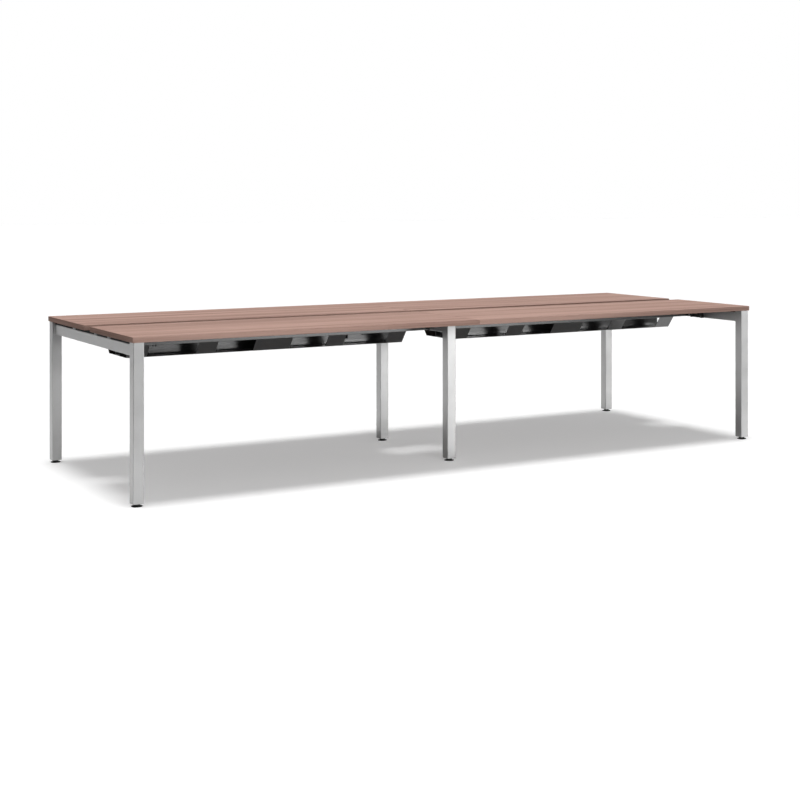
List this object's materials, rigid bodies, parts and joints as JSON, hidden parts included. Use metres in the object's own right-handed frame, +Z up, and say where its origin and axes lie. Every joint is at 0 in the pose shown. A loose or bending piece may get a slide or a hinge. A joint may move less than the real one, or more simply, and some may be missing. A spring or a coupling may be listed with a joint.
{
  "type": "double-sided bench desk",
  "caption": "Double-sided bench desk: facing worktops on a square-tube frame with cross beams and rails, a cable slot along the middle and folded cable trays hung below it.",
  "frame": {"origin": "on the floor at the centre of the bench", "axes": "+X along the bench, +Y from the front row to the rear row, +Z up"},
  "size_m": [3.6, 1.28, 0.745],
  "materials": {
    "wood_board": "wood-grain laminate, satin",
    "wood_edge": "wood-grain plastic edge band",
    "silver_paint": "silver powder coat, satin",
    "black_paint": "black powder coat, satin",
    "black_plastic": "black moulded plastic",
    "pale_plastic": "pale grey moulded plastic"
  },
  "bodies": {
    "bench": {"worktop_front_left": "wood_board", "edge_band_front_left": "wood_edge", "worktop_front_right": "wood_board", "edge_band_front_right": "wood_edge", "worktop_rear_left": "wood_board", "edge_band_rear_left": "wood_edge", "worktop_rear_right": "wood_board", "edge_band_rear_right": "wood_edge", "leg_front_left": "silver_paint", "leg_plug_front_left": "black_plastic", "leg_front_middle": "silver_paint", "leg_plug_front_middle": "black_plastic", "leg_front_right": "silver_paint", "leg_plug_front_right": "black_plastic", "leg_rear_left": "silver_paint", "leg_plug_rear_left": "black_plastic", "leg_rear_middle": "silver_paint", "leg_plug_rear_middle": "black_plastic", "leg_rear_right": "silver_paint", "leg_plug_rear_right": "black_plastic", "end_beam_left": "silver_paint", "middle_beam": "silver_paint", "end_beam_right": "silver_paint", "rail_front_left": "black_paint", "rail_front_right": "black_paint", "rail_rear_left": "black_paint", "rail_rear_right": "black_paint", "cable_tray_left": "black_paint", "tray_divider_left": "black_paint", "clamp_strip_front_left": "black_paint", "clamp_strip_rear_left": "black_paint", "cable_tray_right": "black_paint", "tray_divider_right": "black_paint", "clamp_strip_front_right": "black_paint", "clamp_strip_rear_right": "black_paint", "top_bracket_front_left": "black_paint", "end_spacer_front_left": "pale_plastic", "rail_spacer_front_left": "pale_plastic", "top_bracket_front_right": "black_paint", "end_spacer_front_right": "pale_plastic", "rail_spacer_front_right": "pale_plastic", "middle_spacer_front_outer": "pale_plastic", "middle_spacer_front_inner": "pale_plastic", "top_bracket_rear_left": "black_paint", "end_spacer_rear_left": "pale_plastic", "rail_spacer_rear_left": "pale_plastic", "top_bracket_rear_right": "black_paint", "end_spacer_rear_right": "pale_plastic", "rail_spacer_rear_right": "pale_plastic", "middle_spacer_rear_outer": "pale_plastic", "middle_spacer_rear_inner": "pale_plastic", "end_spacer_inner_left": "pale_plastic", "end_spacer_inner_right": "pale_plastic"},
    "foot_front_left": {"levelling_foot_front_left": "black_plastic"},
    "foot_front_middle": {"levelling_foot_front_middle": "black_plastic"},
    "foot_front_right": {"levelling_foot_front_right": "black_plastic"},
    "foot_rear_left": {"levelling_foot_rear_left": "black_plastic"},
    "foot_rear_middle": {"levelling_foot_rear_middle": "black_plastic"},
    "foot_rear_right": {"levelling_foot_rear_right": "black_plastic"}
  },
  "joints": [
    {"name": "foot_front_left_screw", "type": "slide", "parent": "bench", "child": "foot_front_left", "axis": [0, 0, -1], "range_m": [-0.0015, 0.015]},
    {"name": "foot_front_middle_screw", "type": "slide", "parent": "bench", "child": "foot_front_middle", "axis": [0, 0, -1], "range_m": [-0.0015, 0.015]},
    {"name": "foot_front_right_screw", "type": "slide", "parent": "bench", "child": "foot_front_right", "axis": [0, 0, -1], "range_m": [-0.0015, 0.015]},
    {"name": "foot_rear_left_screw", "type": "slide", "parent": "bench", "child": "foot_rear_left", "axis": [0, 0, -1], "range_m": [-0.0015, 0.015]},
    {"name": "foot_rear_middle_screw", "type": "slide", "parent": "bench", "child": "foot_rear_middle", "axis": [0, 0, -1], "range_m": [-0.0015, 0.015]},
    {"name": "foot_rear_right_screw", "type": "slide", "parent": "bench", "child": "foot_rear_right", "axis": [0, 0, -1], "range_m": [-0.0015, 0.015]}
  ]
}
